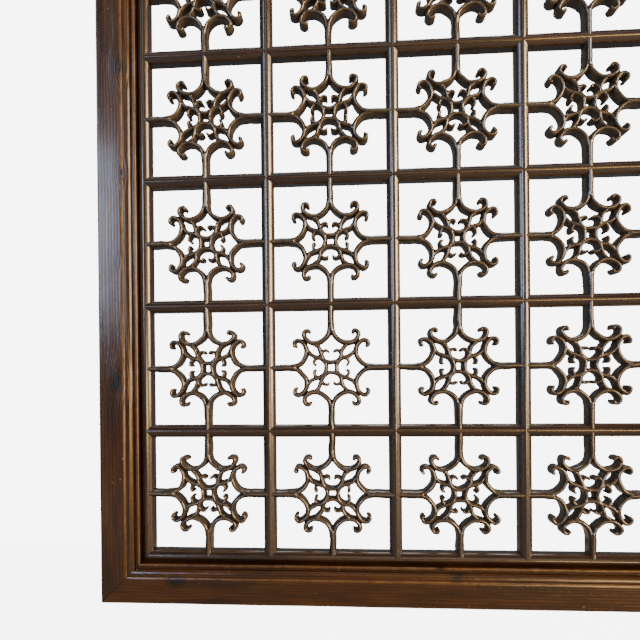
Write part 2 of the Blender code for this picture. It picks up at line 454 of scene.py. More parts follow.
    def mitre_lines(self, tree: Tree, across: Socket, up: Socket) -> Node:
        """Draw the dark joint lines of the mitred crossings.

        Args:
            tree: The material's node tree.
            across: The X coordinate.
            up: The Z coordinate.

        Returns:
            One on a joint line and zero elsewhere.
        """
        joints = self.mitres
        near_joints, outward = [], []
        for place, start, cell, count in (
            (across, joints.left, joints.cell_width, joints.columns),
            (up, joints.bottom, joints.cell_height, joints.rows),
        ):
            half = cell * count / 2
            inward = add(tree, MATH, (place, start), operation="SUBTRACT")
            near_joints.append(add(tree, MATH, (inward, cell / 2), operation="PINGPONG"))
            from_middle = add(tree, MATH, (inward, half), operation="SUBTRACT")
            from_middle = add(tree, MATH, (from_middle,), operation="ABSOLUTE")
            outward.append(add(tree, MATH, (from_middle, half), operation="SUBTRACT"))
        apart = add(tree, MATH, tuple(near_joints), operation="SUBTRACT")
        apart = add(tree, MATH, (apart,), operation="ABSOLUTE")
        apart = add(tree, MATH, (apart, self.joint_width), operation="DIVIDE")
        line = add(tree, MATH, (1.0, apart), operation="SUBTRACT", use_clamp=True)
        furthest = add(tree, MATH, tuple(near_joints), operation="MAXIMUM")
        near = add(tree, MATH, (furthest, joints.reach), operation="LESS_THAN")
        line = add(tree, MATH, (line, near), operation="MULTIPLY")
        # A joint never crosses from outside the grid to inside it
        sides = add(tree, MATH, tuple(outward), operation="MULTIPLY")
        same_side = add(tree, MATH, (sides, 0.0), operation="GREATER_THAN")
        return add(tree, MATH, (line, same_side), operation="MULTIPLY")


def mark_bends(mesh: bpy.types.Mesh) -> None:
    """Store how far each point's surface bends: above zero on edges, below zero in recesses.

    Args:
        mesh: The mesh that gets the attribute.
    """
    count = len(mesh.vertices)
    points = np.empty(count * 3)
    normals = np.empty(count * 3)
    mesh.vertices.foreach_get("co", points)
    mesh.vertex_normals.foreach_get("vector", normals)
    points = points.reshape(-1, 3)
    normals = normals.reshape(-1, 3)
    ends = np.empty(len(mesh.edges) * 2, dtype=np.int32)
    mesh.edges.foreach_get("vertices", ends)
    ends = ends.reshape(-1, 2)
    run = points[ends[:, 1]] - points[ends[:, 0]]
    run /= np.maximum(np.linalg.norm(run, axis=1, keepdims=True), 1e-9)
    turn = np.einsum("ij,ij->i", normals[ends[:, 1]] - normals[ends[:, 0]], run)
    # A swept piece's end caps have many corners: their points take the bend of the ring next to
    # them, so that neither wear nor painted shade is drawn along a joint
    capped = np.zeros(count, dtype=bool)
    for face in mesh.polygons:
        if CAP_CORNERS < len(face.vertices) < count // 3:
            capped[list(face.vertices)] = True
    turn[capped[ends[:, 0]] != capped[ends[:, 1]]] = 0.0
    total = np.zeros(count)
    for column in (0, 1):
        np.add.at(total, ends[:, column], turn)
    for first, second in ((0, 1), (1, 0)):
        outer = capped[ends[:, first]] & ~capped[ends[:, second]]
        total[ends[outer, first]] = total[ends[outer, second]]
    attribute = mesh.attributes.new("bend", "FLOAT", "POINT")
    attribute.data.foreach_set("value", np.clip(total, -1.0, 1.0).astype(np.float32))


def finish_mesh(mesh: bpy.types.Mesh, sharp_angle: float) -> None:
    """Turn a mesh's faces outwards, shade it smooth between sharp edges, and mark its bends.

    Args:
        mesh: The mesh.
        sharp_angle: Edges that turn more than this many degrees stay sharp.
    """
    work = bmesh.new()
    work.from_mesh(mesh)
    bmesh.ops.remove_doubles(work, verts=work.verts, dist=MERGE_DISTANCE)
    bmesh.ops.recalc_face_normals(work, faces=work.faces)
    work.to_mesh(mesh)
    work.free()
    mesh.shade_smooth()
    mesh.set_sharp_from_angle(angle=math.radians(sharp_angle))
    mark_bends(mesh)


def dress(name: str, mesh: bpy.types.Mesh, node: str) -> bpy.types.Object:
    """Put a finished mesh in the scene in place of a node.

    Args:
        name: The piece's name.
        mesh: Its mesh, in the panel's frame.
        node: The node it stands for.

    Returns:
        The piece.
    """
    piece = bpy.data.objects.new(name, mesh)
    bpy.context.scene.collection.objects.link(piece)
    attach(piece, "root")
    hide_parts(node)
    log.info("%s: %d faces, in place of %s", name, len(mesh.polygons), node)
    return piece


def crown(share: np.ndarray) -> np.ndarray:
    """The height of a crowned front: a gable with a soft ridge and rounded flanks.

    Args:
        share: The distance from the ridge as a share of half the width.

    Returns:
        The height as a share of the ridge's.
    """
    softness, gable_part = 0.32, 0.6
    share = np.clip(share, 0.0, 1.0)
    gable = math.sqrt(1 + softness**2) - np.sqrt(share**2 + softness**2)
    gable /= math.sqrt(1 + softness**2) - softness
    flank = np.sqrt(np.clip(1 - share**2, 0.0, 1.0))
    return gable_part * gable + (1 - gable_part) * flank


@dataclass
class Sweeper:
    """Sweeps a cross-section along +Z with Geometry Nodes, with a planed board's slight waves."""

    spacing: float = 5.0 * MM
    wave_length: float = 85.0 * MM
    tree: Tree = field(init=False)
    sockets: dict[str, str] = field(init=False, default_factory=dict)

    def __post_init__(self) -> None:
        """Build the node tree once, for all strips and bars."""
        tree = bpy.data.node_groups.new("swept_strip", "GeometryNodeTree")
        self.tree = tree
        tree.interface.new_socket("Geometry", in_out="INPUT", socket_type="NodeSocketGeometry")
        for name in ("Length", "Mitre", "Spacing", "Wave", "Wave Length", "Seed", "Material"):
            kind = "NodeSocketMaterial" if name == "Material" else "NodeSocketFloat"
            socket = tree.interface.new_socket(name, in_out="INPUT", socket_type=kind)
            self.sockets[name] = socket.identifier
        tree.interface.new_socket("Geometry", in_out="OUTPUT", socket_type="NodeSocketGeometry")
        given = add(tree, "NodeGroupInput").outputs
        half = add(tree, MATH, (given["Length"], 0.5), operation="MULTIPLY")
        below = add(tree, MATH, (half, -1.0), operation="MULTIPLY")
        low = add(tree, COMBINE, {2: below})
        high = add(tree, COMBINE, {2: half})
        line = add(tree, "GeometryNodeCurvePrimitiveLine", {"Start": low, "End": high})
        path = add(tree, "GeometryNodeResampleCurve", {"Curve": line, "Length": given["Spacing"]},
                   mode="LENGTH")
        section = add(tree, "GeometryNodeMeshToCurve", {"Mesh": given["Geometry"]})
        swept = add(tree, "GeometryNodeCurveToMesh",
                    {"Curve": path, "Profile Curve": section, "Fill Caps": True})

        axes = add(tree, SEPARATE, (add(tree, "GeometryNodeInputPosition"),)).outputs
        inward = add(tree, MATH, (axes[0], given["Mitre"]), operation="MULTIPLY")
        cut_back = add(tree, MATH, (inward, half), operation="DIVIDE")
        kept = add(tree, MATH, (1.0, cut_back), operation="SUBTRACT")
        height = add(tree, MATH, (axes[2], kept), operation="MULTIPLY")
        sheared = add(tree, COMBINE, (axes[0], axes[1], height))
        mitred = add(tree, "GeometryNodeSetPosition", {"Geometry": swept, "Position": sheared})

        place = add(tree, "GeometryNodeInputPosition")
        pitch = add(tree, MATH, (1.0, given["Wave Length"]), operation="DIVIDE")
        scaled = add(tree, VECTOR, {0: place, 3: pitch}, operation="SCALE")
        noise = add(tree, NOISE, {"Vector": scaled, "W": given["Seed"], "Scale": 1.0,
                                  "Detail": 2.0}, noise_dimensions="4D")
        middle = add(tree, VECTOR, (noise.outputs["Color"], (0.5, 0.5, 0.5)), operation="SUBTRACT")
        flat = add(tree, VECTOR, (middle, (1.0, 1.0, 0.0)), operation="MULTIPLY")
        wave = add(tree, VECTOR, {0: flat, 3: given["Wave"]}, operation="SCALE")
        waved = add(tree, "GeometryNodeSetPosition", {"Geometry": mitred, "Offset": wave})
        real = add(tree, "GeometryNodeRealizeInstances", (waved,))
        dressed = add(tree, "GeometryNodeSetMaterial",
                      {"Geometry": real, "Material": given["Material"]})
        add(tree, "NodeGroupOutput", (dressed,))

    def sweep(
        self,
        name: str,
        section: list[Point],
        length: float,
        mitre: float,
        wave: float,
        seed: int,
        material: bpy.types.Material,
    ) -> bpy.types.Mesh:
        """Sweep a closed cross-section in XY along +Z, centred on Z = 0.

        Args:
            name: The mesh's name.
            section: The cross-section's points, in order.
            length: The outer length.
            mitre: One for ends cut at 45 degrees inwards from X = 0, zero for square ends.
            wave: How far the surface wanders, in metres.
            seed: Picks the waves.
            material: The finish.

        Returns:
            A plain mesh.
        """
        outline = bpy.data.meshes.new(name)
        count = len(section)
        edges = [(index, (index + 1) % count) for index in range(count)]
        outline.from_pydata([(x, y, 0.0) for x, y in section], edges, [])
        holder = bpy.data.objects.new(name, outline)
        bpy.context.scene.collection.objects.link(holder)
        modifier = holder.modifiers.new("sweep", "NODES")
        modifier.node_group = self.tree
        for key, value in (
            ("Length", length),
            ("Mitre", mitre),
            ("Spacing", self.spacing),
            ("Wave", wave),
            ("Wave Length", self.wave_length),
            ("Seed", float(seed)),
            ("Material", material),
        ):
            modifier[self.sockets[key]] = value
        graph = bpy.context.evaluated_depsgraph_get()
        mesh = bpy.data.meshes.new_from_object(holder.evaluated_get(graph))
        holder.modifiers.remove(modifier)
        bpy.data.objects.remove(holder, do_unlink=True)
        bpy.data.meshes.remove(outline)
        mesh.name = name
        return mesh


def arc(centre: Point, radii: Point, start: float, end: float, steps: int) -> list[Point]:
    """Points along an arc of an ellipse.

    Args:
        centre: Its centre.
        radii: Its radii along X and Y.
        start: The first angle, in degrees.
        end: The last angle, in degrees.
        steps: The number of segments.

    Returns:
        The points, both ends among them.
    """
    points = []
    for step in range(steps + 1):
        angle = math.radians(start + (end - start) * step / steps)
        across, up = radii[0] * math.cos(angle), radii[1] * math.sin(angle)
        points.append((centre[0] + across, centre[1] + up))
    return points


def spread(start: Point, end: Point, count: int) -> list[Point]:
    """Points from start up to, but without, end.

    Args:
        start: The first point.
        end: The point they lead to.
        count: How many points.

    Returns:
        The points.
    """
    across, up = end[0] - start[0], end[1] - start[1]
    return [
        (start[0] + across * step / count, start[1] + up * step / count) for step in range(count)
    ]


@dataclass
class OuterFrame:
    """The mitred outer frame: a flat face, a quirk, an ovolo, a groove and a bead."""

    sweeper: Sweeper
    finishes: dict[Grain, bpy.types.Material]
    quirk_width: float = 1.6 * MM
    quirk_depth: float = 1.2 * MM
    ovolo_width: float = 6.6 * MM
    ovolo_drop: float = 4.4 * MM
    groove_width: float = 2.2 * MM
    groove_depth: float = 1.1 * MM
    bead_width: float = 3.6 * MM
    bead_rise: float = 1.4 * MM
    easing: float = 2.4 * MM
    lip: float = 0.35 * MM
    side_points: int = 4
    face_points: int = 7
    easing_steps: int = 4
    round_steps: int = 7
    wave: float = 0.7 * MM

    def section(self, width: float, depth: float) -> list[Point]:
        """The strip's cross-section, from its outer edge at X = 0 inwards.

        Args:
            width: The strip's width.
            depth: Its depth.

        Returns:
            The section's points.
        """
        moulding = self.quirk_width + self.ovolo_width + self.groove_width + self.bead_width
        face_end = width - moulding
        face = -depth
        ledge = face + self.quirk_depth
        ovolo_start = face_end + self.quirk_width
        ovolo_end = ovolo_start + self.ovolo_width
        foot = ledge + self.ovolo_drop
        groove = foot + self.groove_depth
        bead_start = ovolo_end + self.groove_width
        bead_middle = bead_start + self.bead_width / 2
        easing, lip, rounds = self.easing, self.lip, self.round_steps
        points = spread((0.0, 0.0), (0.0, face + easing), self.side_points)
        points += arc((easing, face + easing), (easing, easing), 180, 270, self.easing_steps)
        points += spread((easing + lip, face), (face_end - lip, face), self.face_points)
        points += [(face_end - lip, face), (face_end, face + lip), (face_end + lip, ledge)]
        points += arc((ovolo_start, foot), (self.ovolo_width, -self.ovolo_drop), 90, 0, rounds)
        points += [(ovolo_end + lip, groove), (bead_start - lip, groove)]
        points += arc((bead_middle, foot), (self.bead_width / 2, -self.bead_rise), 180, 0, rounds)
        points += spread((width, foot + lip), (width, 0.0), self.side_points)
        points += [(width, 0.0)]
        return points

    def build(self) -> None:
        """Build the four strips in place of their nodes."""
        build_strips(
            self.sweeper,
            ("left_stile", "top_rail", "right_stile", "bottom_rail"),
            self.section,
            self.finishes,
            self.wave,
            OUTER_FRAME_SEED,
        )


def build_strips(
    sweeper: Sweeper,
    nodes: tuple[str, str, str, str],
    section: Callable[[float, float], list[Point]],
    finishes: dict[Grain, bpy.types.Material],
    wave: float,
    seed: int,
    tuck: float = 0.0,
) -> None:
    """Build a frame's four mitred strips, each where its node is.

    Args:
        sweeper: Sweeps the section.
        nodes: The nodes, left, top, right and bottom.
        section: Gives the section's points from a width and a depth.
        finishes: The finish for each way of the grain.
        wave: How far the surface wanders.
        seed: The first strip's seed.
        tuck: How far each strip reaches outwards into what holds it, which closes the seam.
    """
    for side, node in zip(Side, nodes):
        low, high = (Vector(corner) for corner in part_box(node))
        upright = side in (Side.LEFT, Side.RIGHT)
        width = high.x - low.x if upright else high.z - low.z
        length = high.z - low.z if upright else high.x - low.x
        width += tuck
        length += 2 * tuck + MITRE_CLOSING
        back = high.y
        points = [(x, y + back) for x, y in section(width, high.y - low.y)]
        finish = finishes[Grain.UPRIGHT if upright else Grain.LEVEL]
        mesh = sweeper.sweep(f"{node}_carved", points, length, 1.0, wave, seed + side.value, finish)
        middle = (low + high) / 2
        edge = {
            Side.LEFT: Vector((low.x - tuck, 0.0, middle.z)),
            Side.TOP: Vector((middle.x, 0.0, high.z + tuck)),
            Side.RIGHT: Vector((high.x + tuck, 0.0, middle.z)),
            Side.BOTTOM: Vector((middle.x, 0.0, low.z - tuck)),
        }[side]
        mesh.transform(Matrix.Translation(edge) @ Matrix.Rotation(math.pi / 2 * side.value, 4, "Y"))
        finish_mesh(mesh, SHARP_STRIP)
        dress(f"{node}_carved", mesh, node)


@dataclass
class CrownedBar:
    """The section that the bars and the inner frame share: a square body with a crowned front."""

    crown_rise: float = 5.0 * MM
    crown_steps: int = 14
    side_points: int = 5

    def section(self, width: float, depth: float) -> list[Point]:
        """The section's points, from X = 0 to the width, with its back at Y = 0.

        Args:
            width: The bar's width.
            depth: Its whole depth, crown included.

        Returns:
            The points.
        """
        shoulder = -(depth - self.crown_rise)
        points = spread((0.0, 0.0), (0.0, shoulder), self.side_points)
        shares = np.linspace(-1.0, 1.0, self.crown_steps + 1)
        rises = crown(np.abs(shares)) * self.crown_rise
        points += [
            (float((share + 1) / 2 * width), float(shoulder - rise))
            for share, rise in zip(shares, rises)
        ]
        points += spread((width, shoulder), (width, 0.0), self.side_points)[1:]
        points += [(width, 0.0)]
        return points


@dataclass
class InnerFrame:
    """The mitred inner frame, a crowned strip on each side."""

    sweeper: Sweeper
    bar: CrownedBar
    finishes: dict[Grain, bpy.types.Material]
    wave: float = 0.35 * MM
    tuck: float = 0.9 * MM

    def build(self) -> None:
        """Build the four strips in place of their nodes."""
        build_strips(
            self.sweeper,
            ("inner_strip_left", "inner_strip_top", "inner_strip_right", "inner_strip_bottom"),
            self.bar.section,
            self.finishes,
            self.wave,
            INNER_FRAME_SEED,
            self.tuck,
        )


@dataclass
class BarGrid:
    """The bars, which run from the inner frame's ridge to its ridge and cross in mitres."""

    sweeper: Sweeper
    bar: CrownedBar
    finishes: dict[Grain, bpy.types.Material]
    uprights: int = COLUMNS - 1
    levels: int = ROWS - 1
    wave: float = 0.35 * MM
    level_recess: float = 0.35 * MM

    def build(self) -> None:
        """Build the upright and the level bars in place of their nodes."""
        for number in range(1, self.uprights + 1):
            self.build_bar(f"upright_bar_{number}", Grain.UPRIGHT, UPRIGHT_SEED + number)
        for number in range(1, self.levels + 1):
            self.build_bar(f"level_bar_{number}", Grain.LEVEL, LEVEL_SEED + number)

    def build_bar(self, node: str, grain: Grain, seed: int) -> None:
        """Build one bar.

        Args:
            node: Its node.
            grain: The way it runs.
            seed: Picks its waves.
        """
        low, high = (Vector(corner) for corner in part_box(node))
        upright = grain is Grain.UPRIGHT
        width = high.x - low.x if upright else high.z - low.z
        length = high.z - low.z if upright else high.x - low.x
        recess = 0.0 if upright else self.level_recess
        section = self.bar.section(width, high.y - low.y - recess)
        points = [(x - width / 2, y + high.y - recess) for x, y in section]
        mesh = self.sweeper.sweep(f"{node}_carved", points, length, 0.0, self.wave, seed,
                                  self.finishes[grain])
        middle = (low + high) / 2
        turn = Matrix.Rotation(0.0 if upright else math.pi / 2, 4, "Y")
        mesh.transform(Matrix.Translation((middle.x, 0.0, middle.z)) @ turn)
        finish_mesh(mesh, SHARP_STRIP)
        dress(f"{node}_carved", mesh, node)


@dataclass
class Stroke:
    """One carved stroke: its middle line's points in millimetres, half width and crown at each."""

    points: list[Point]
    halves: list[float]
    crowns: list[float]
    steps: int = 7

    def sampled(self) -> np.ndarray:
        """Run a smooth curve through the points.

        Returns:
            Rows of x, z, half width and crown, in millimetres.
        """
        rows = np.column_stack([np.array(self.points), self.halves, self.crowns])
        padded = np.vstack([2 * rows[0] - rows[1], rows, 2 * rows[-1] - rows[-2]])
        samples = []
        for first, second, third, fourth in zip(padded, padded[1:], padded[2:], padded[3:]):
            for step in range(self.steps):
                t = step / self.steps
                samples.append(
                    0.5 * (2 * second + (third - first) * t
                           + (2 * first - 5 * second + 4 * third - fourth) * t**2
                           + (3 * second - first - 3 * third + fourth) * t**3)
                )
        samples.append(rows[-1])
        return np.array(samples)


@dataclass
class FretDesign:
    """The scroll fretwork's strokes in millimetres from its centre, alike in all four quarters."""

    stem_start: float = 41.5
    stem_knee: float = 50.0
    stem_halves: tuple[float, ...] = (3.3, 3.9, 3.8, 3.8)
    stem_crown: float = 4.6
    branch: tuple[Point, ...] = (
        (0.9, 48.5), (2.6, 38.0), (7.0, 32.2), (13.1, 28.4), (19.4, 27.5),
        (25.3, 29.4), (29.4, 33.4), (30.6, 37.6), (28.6, 40.8), (25.4, 41.3), (23.9, 39.6),
    )
    branch_halves: tuple[float, ...] = (2.6, 2.6, 2.7, 2.7, 2.7, 2.6, 2.5, 2.4, 2.2, 2.0, 1.9)
    bow: tuple[Point, ...] = (
        (18.0, 25.8), (14.2, 22.6), (12.1, 18.0), (10.6, 12.6), (8.0, 8.6), (4.2, 6.4), (0.0, 5.8),
    )
    bow_halves: tuple[float, ...] = (2.0, 2.2, 2.3, 2.4, 2.4, 2.3, 2.3)
    curl: tuple[Point, ...] = (
        (11.0, 14.0), (9.8, 17.2), (6.8, 19.2), (3.9, 18.9), (3.0, 17.4),
    )
    curl_halves: tuple[float, ...] = (1.7, 1.7, 1.6, 1.5, 1.4)
    crown_share: float = 1.35
    crown_base: float = 0.2
    place_error: float = 0.22
    width_error: float = 0.045

    def strokes(
        self, reach_x: float, reach_z: float, chance: np.random.Generator
    ) -> list[Stroke]:
        """The fretwork's strokes with a carver's small irregularities.

        Args:
            reach_x: How far the level stems reach from the centre.
            reach_z: How far the upright stems reach.
            chance: The seeded source of irregularities.

        Returns:
            The strokes.
        """
        strokes = []
        for quarter in range(4):
            reach = reach_z if quarter % 2 == 0 else reach_x
            heights = (self.stem_start, self.stem_knee, (reach + self.stem_knee) / 2, reach)
            stem = [(0.0, height) for height in heights]
            bow = list(self.bow) + [(-x, z) for x, z in reversed(self.bow[:-1])]
            halves = list(self.bow_halves) + list(reversed(self.bow_halves[:-1]))
            for points, widths, rise, mirror in (
                (stem, self.stem_halves, self.stem_crown, 1),
                (self.branch, self.branch_halves, None, 1),
                (self.curl, self.curl_halves, None, 1),
                (self.branch, self.branch_halves, None, -1),
                (self.curl, self.curl_halves, None, -1),
                (bow, halves, None, 1),
            ):
                strokes.append(self.carve(points, widths, rise, quarter, mirror, chance))
        return strokes

    def carve(
        self,
        points: Sequence[Point],
        halves: Sequence[float],
        rise: float | None,
        quarter: int,
        mirror: int,
        chance: np.random.Generator,
    ) -> Stroke:
        """One stroke turned to its quarter, with its points and widths a little off.

        Args:
            points: The middle line in the top quarter.
            halves: The half widths.
            rise: The crown's height, or None for a share of the half width.
            quarter: Quarter turns clockwise.
            mirror: Minus one for the mirrored stroke.
            chance: The seeded source of irregularities.

        Returns:
            The stroke.
        """
        placed = []
        for x, z in points:
            x = mirror * x + chance.normal(0, self.place_error)
            z = z + chance.normal(0, self.place_error)
            for _ in range(quarter):
                x, z = z, -x
            placed.append((x, z))
        widths = [half * (1 + chance.normal(0, self.width_error)) for half in halves]
        crowns = [rise or self.crown_share * half + self.crown_base for half in widths]
        return Stroke(placed, widths, crowns)


@dataclass
class Fretwork:
    """The carved pieces, one in each cell, whose stems run over the bars' slopes."""

    finish: bpy.types.Material
    design: FretDesign = field(default_factory=FretDesign)
    columns: int = COLUMNS
    rows: int = ROWS
    cell: float = 0.7
    grid_margin: float = 4.0
    stroke_margin: float = 2.2
    back_recess: float = 0.4 * MM
    shoulder: float = 17.0 * MM
    tip_reach: float = 5.6 * MM

    def build(self) -> None:
        """Build every fretwork in place of its node."""
        for column in range(1, self.columns + 1):
            for row in range(1, self.rows + 1):
                self.build_one(f"fret_column_{column}_row_{row}", 100 * column + row)

    def build_one(self, node: str, seed: int) -> None:
        """Build one fretwork.

        Args:
            node: Its node.
            seed: Picks its irregularities.
        """
        low, high = (Vector(corner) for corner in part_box(node))
        middle = (low + high) / 2
        reach_x = (high.x - low.x) / 2 / MM + self.tip_reach / MM
        reach_z = (high.z - low.z) / 2 / MM + self.tip_reach / MM
        chance = np.random.default_rng(seed)
        strokes = self.design.strokes(reach_x, reach_z, chance)
        xs, zs, inside, rise = self.fields(strokes, reach_x, reach_z)
        mesh = self.surface(node, xs, zs, inside, rise, middle, high.y)
        mesh.materials.append(self.finish)
        finish_mesh(mesh, SHARP_FRET)
        dress(f"{node}_carved", mesh, node)

    def fields(
        self, strokes: list[Stroke], reach_x: float, reach_z: float
    ) -> tuple[np.ndarray, np.ndarray, np.ndarray, np.ndarray]:
        """Measure the strokes on a square grid.

        Args:
            strokes: The strokes.
            reach_x: How far the grid goes sideways, in millimetres.
            reach_z: How far it goes up and down.

        Returns:
            The grid's x and z, the distance inside the outline, and the crown's height.
        """
        xs, zs = (
            np.arange(-reach - self.grid_margin, reach + self.grid_margin + self.cell, self.cell)
            for reach in (reach_x, reach_z)
        )
        far_outside = -9.0
        inside = np.full((len(xs), len(zs)), far_outside)
        rise = np.zeros_like(inside)
        for stroke in strokes:
            rows = stroke.sampled()
            for start, end in zip(rows, rows[1:]):
                margin = max(start[2], end[2]) + self.stroke_margin
                left = np.searchsorted(xs, min(start[0], end[0]) - margin)
                right = np.searchsorted(xs, max(start[0], end[0]) + margin)
                down = np.searchsorted(zs, min(start[1], end[1]) - margin)
                up = np.searchsorted(zs, max(start[1], end[1]) + margin)
                across = xs[left:right, None] - start[0]
                above = zs[None, down:up] - start[1]
                run = end - start
                along = (across * run[0] + above * run[1]) / max(run[0]**2 + run[1]**2, 1e-9)
                along = np.clip(along, 0.0, 1.0)
                away = np.hypot(across - along * run[0], above - along * run[1])
                half = start[2] + along * run[2]
                height = (start[3] + along * run[3]) * crown(away / half)
                height = np.where(away < half, height, 0.0)
                patch = (slice(left, right), slice(down, up))
                inside[patch] = np.maximum(inside[patch], half - away)
                rise[patch] = np.maximum(rise[patch], height)
        return xs, zs, inside, rise

    def surface(
        self,
        name: str,
        xs: np.ndarray,
        zs: np.ndarray,
        inside: np.ndarray,
        rise: np.ndarray,
        middle: Vector,
        back: float,
    ) -> bpy.types.Mesh:
        """Make the closed solid: a crowned front whose rim follows the outline, walls and a back.

        Args:
            name: The mesh's name.
            xs: The grid's x, in millimetres.
            zs: The grid's z.
            inside: The distance inside the outline at each grid point.
            rise: The crown's height there.
            middle: The fretwork's centre.
            back: The Y of its back.

        Returns:
            The mesh.
        """
        cells = (inside[:-1, :-1] + inside[1:, :-1] + inside[:-1, 1:] + inside[1:, 1:]) > 0
        cells = self.bridged(cells)
        padded = np.pad(cells, 1)
        around = padded[:-1, :-1].astype(int) + padded[1:, :-1] + padded[:-1, 1:] + padded[1:, 1:]
        used = around > 0
        rim = used & (around < 4)
        slope_x, slope_z = np.gradient(inside, self.cell)
        least_slope = 0.2
        steep = np.maximum(slope_x**2 + slope_z**2, least_slope)
        place_x, place_z = np.meshgrid(xs, zs, indexing="ij")
        shift = np.clip(inside, -self.cell, self.cell) * rim / steep
        place_x = place_x - shift * slope_x
        place_z = place_z - shift * slope_z
        height = np.where(rim, 0.0, rise)

        number = np.full(used.shape, -1)
        number[used] = np.arange(used.sum())
        front = back - self.shoulder
        points = np.column_stack([
            middle.x + place_x[used] * MM,
            front - height[used] * MM,
            middle.z + place_z[used] * MM,
        ])
        rows, columns = np.nonzero(cells)
        faces = np.column_stack([
            number[rows, columns], number[rows + 1, columns],
            number[rows + 1, columns + 1], number[rows, columns + 1],
        ])
        mesh = bpy.data.meshes.new(name)
        mesh.from_pydata(points.tolist(), [], faces.tolist())
        work = bmesh.new()
        work.from_mesh(mesh)
        edges = [edge for edge in work.edges if edge.is_boundary]
        self.smooth_rim(edges)
        made = bmesh.ops.extrude_edge_only(work, edges=edges)["geom"]
        for item in made:
            if isinstance(item, bmesh.types.BMVert):
                item.co.y = back - self.back_recess
        lower = [item for item in made if isinstance(item, bmesh.types.BMEdge) and item.is_boundary]
        bmesh.ops.triangle_fill(work, edges=lower, use_beauty=True, normal=(0.0, 1.0, 0.0))
        work.to_mesh(mesh)
        work.free()
        return mesh

    @staticmethod
    def smooth_rim(edges: list[bmesh.types.BMEdge], passes: int = 3) -> None:
        """Take the grid's steps out of the outline, as a carver's last pass does.

        Args:
            edges: The outline's edges.
            passes: How many times each point moves halfway to its neighbours' middle.
        """
        beside: dict[bmesh.types.BMVert, list[bmesh.types.BMVert]] = {}
        for edge in edges:
            first, second = edge.verts
            beside.setdefault(first, []).append(second)
            beside.setdefault(second, []).append(first)
        for _ in range(passes):
            moved = {}
            for point, others in beside.items():
                middle = sum((other.co for other in others), Vector()) / len(others)
                moved[point] = (point.co + middle) / 2
            for point, place in moved.items():
                point.co = place

    @staticmethod
    def bridged(cells: np.ndarray) -> np.ndarray:
        """Fill a cell wherever two cells meet only at a corner.

        Args:
            cells: The kept cells.

        Returns:
            The kept cells, none of them joined at a corner alone.
        """
        cells = cells.copy()
        for _ in range(3):
            here, right = cells[:-1, :-1], cells[1:, :-1]
            above, across = cells[:-1, 1:], cells[1:, 1:]
            rising = here & across & ~right & ~above
            falling = right & above & ~here & ~across
            if not rising.any() and not falling.any():
                break
            cells[1:, :-1] |= rising
            cells[:-1, :-1] |= falling
        return cells


@dataclass(frozen=True)
class PhotoCamera:
    """The photograph's camera, fitted to the lattice's corners in the picture."""

    focal_pixels: float = 781.8
    centre_across: float = 269.4
    centre_down: float = 374.8
    turn_degrees: tuple[float, float, float] = (0.27, 5.30, -0.53)
    from_left_line: float = 221.7 * MM
    from_bars: float = 873.2 * MM
    above_bottom_line: float = 208.3 * MM

    def build(self, left: float, bottom: float, shoulder: float) -> None:
        """Place the camera.

        Args:
            left: The X of the inner frame's left ridge.
            bottom: The Z of its bottom ridge.
            shoulder: The Y of the bars' shoulders.
        """
        data = bpy.data.cameras.new("camera")
        data.sensor_width = SENSOR_WIDTH
        data.lens = self.focal_pixels / IMAGE_SIDE * SENSOR_WIDTH
        data.shift_x = (IMAGE_SIDE / 2 - self.centre_across) / IMAGE_SIDE
        data.shift_y = (self.centre_down - IMAGE_SIDE / 2) / IMAGE_SIDE
        data.clip_start = 0.01
        camera = bpy.data.objects.new("camera", data)
        turn = Vector([math.radians(angle) for angle in self.turn_degrees])
        view = Matrix.Rotation(turn.length, 3, turn.normalized())
        upright = Matrix(((1, 0, 0), (0, 0, -1), (0, 1, 0)))
        flip = Matrix(((1, 0, 0), (0, -1, 0), (0, 0, -1)))
        facing = (flip @ view @ upright).transposed().to_4x4()
        place = Vector((
            left + self.from_left_line, shoulder - self.from_bars, bottom + self.above_bottom_line,
        ))
        camera.matrix_world = Matrix.Translation(place) @ facing
        bpy.context.scene.collection.objects.link(camera)
        bpy.context.scene.camera = camera


